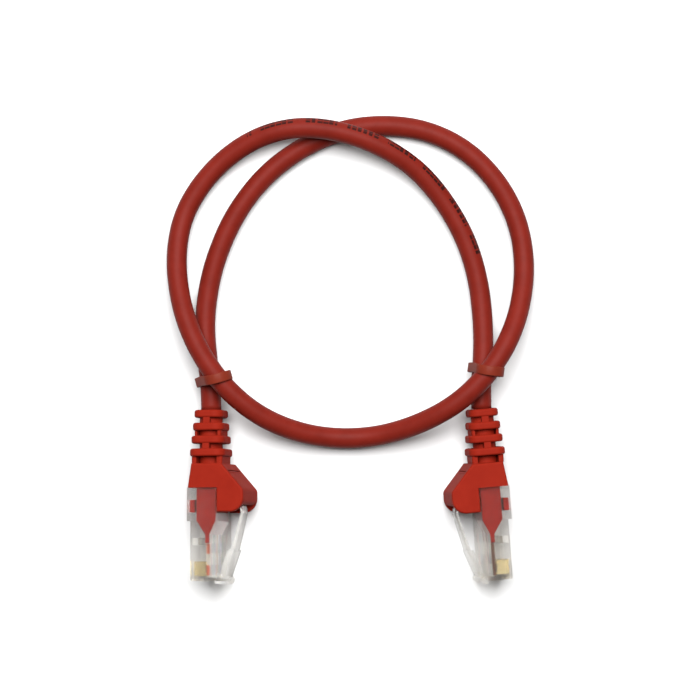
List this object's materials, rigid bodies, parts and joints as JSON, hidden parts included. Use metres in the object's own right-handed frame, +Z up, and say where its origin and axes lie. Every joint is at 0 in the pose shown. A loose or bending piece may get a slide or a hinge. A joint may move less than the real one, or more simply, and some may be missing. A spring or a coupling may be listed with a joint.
{
  "type": "ethernet patch cable",
  "caption": "Short network patch lead in a tied loop, with a booted modular plug and sprung latch on each end.",
  "frame": {"origin": "on the surface that the lead lies on, under the middle of its outline", "axes": "+X across the two plugs, from plug a to plug b; +Y from the plugs' noses towards the top of the loop; +Z up from the surface"},
  "size_m": [0.0898, 0.1145, 0.0159],
  "materials": {
    "jacket": "satin extruded vinyl",
    "boot": "satin moulded vinyl",
    "clear_plug": "clear, smooth",
    "gold": "polished gold plating",
    "tie": "soft satin band",
    "white_orange_wire": "smooth insulation",
    "orange_wire": "smooth insulation",
    "white_green_wire": "smooth insulation",
    "blue_wire": "smooth insulation",
    "white_blue_wire": "smooth insulation",
    "green_wire": "smooth insulation",
    "white_brown_wire": "smooth insulation",
    "brown_wire": "smooth insulation"
  },
  "bodies": {
    "cable": {"cable_jacket": "jacket", "pair_orange": "orange_wire", "pair_green": "green_wire", "pair_blue": "blue_wire", "pair_brown": "brown_wire", "boot_a": "boot", "plug_housing_a": "clear_plug", "inner_mould_a": "boot", "mould_lug_a": "boot", "jacket_end_a": "jacket", "crimp_bar_a": "clear_plug", "wire_clamp_a": "clear_plug", "wire_white_orange_a": "white_orange_wire", "contact_1_a": "gold", "wire_orange_a": "orange_wire", "contact_2_a": "gold", "wire_white_green_a": "white_green_wire", "contact_3_a": "gold", "wire_blue_a": "blue_wire", "contact_4_a": "gold", "wire_white_blue_a": "white_blue_wire", "contact_5_a": "gold", "wire_green_a": "green_wire", "contact_6_a": "gold", "wire_white_brown_a": "white_brown_wire", "contact_7_a": "gold", "wire_brown_a": "brown_wire", "contact_8_a": "gold", "tie_band_a": "tie", "boot_b": "boot", "plug_housing_b": "clear_plug", "inner_mould_b": "boot", "mould_lug_b": "boot", "jacket_end_b": "jacket", "crimp_bar_b": "clear_plug", "wire_clamp_b": "clear_plug", "wire_white_orange_b": "white_orange_wire", "contact_1_b": "gold", "wire_orange_b": "orange_wire", "contact_2_b": "gold", "wire_white_green_b": "white_green_wire", "contact_3_b": "gold", "wire_blue_b": "blue_wire", "contact_4_b": "gold", "wire_white_blue_b": "white_blue_wire", "contact_5_b": "gold", "wire_green_b": "green_wire", "contact_6_b": "gold", "wire_white_brown_b": "white_brown_wire", "contact_7_b": "gold", "wire_brown_b": "brown_wire", "contact_8_b": "gold", "tie_band_b": "tie"},
    "latch_a": {"latch_a": "clear_plug"},
    "thumb_tab_a": {"thumb_tab_a": "boot"},
    "latch_b": {"latch_b": "clear_plug"},
    "thumb_tab_b": {"thumb_tab_b": "boot"}
  },
  "joints": [
    {"name": "latch_a_press", "type": "hinge", "parent": "cable", "child": "latch_a", "pos_m": [-0.03002, -0.05472, 0.00986], "axis": [-0.2924, 0.0667, 0.954], "range_deg": [0, 12], "stiffness_Nm_per_rad": 0.02},
    {"name": "thumb_tab_a_press", "type": "hinge", "parent": "cable", "child": "thumb_tab_a", "pos_m": [-0.0283, -0.02995, 0.00865], "axis": [0.2924, -0.0667, -0.954], "range_deg": [0, 21.6], "stiffness_Nm_per_rad": 0.01},
    {"name": "latch_b_press", "type": "hinge", "parent": "cable", "child": "latch_b", "pos_m": [0.03127, -0.05468, 0.00725], "axis": [-0.1645, -0.0129, -0.9863], "range_deg": [0, 12], "stiffness_Nm_per_rad": 0.02},
    {"name": "thumb_tab_b_press", "type": "hinge", "parent": "cable", "child": "thumb_tab_b", "pos_m": [0.02755, -0.0301, 0.00755], "axis": [0.1645, 0.0129, 0.9863], "range_deg": [0, 21.6], "stiffness_Nm_per_rad": 0.01}
  ],
  "couplings": [
    {"joint": "thumb_tab_a_press", "follows": "latch_a_press", "ratio": 1.8},
    {"joint": "thumb_tab_b_press", "follows": "latch_b_press", "ratio": 1.8}
  ]
}
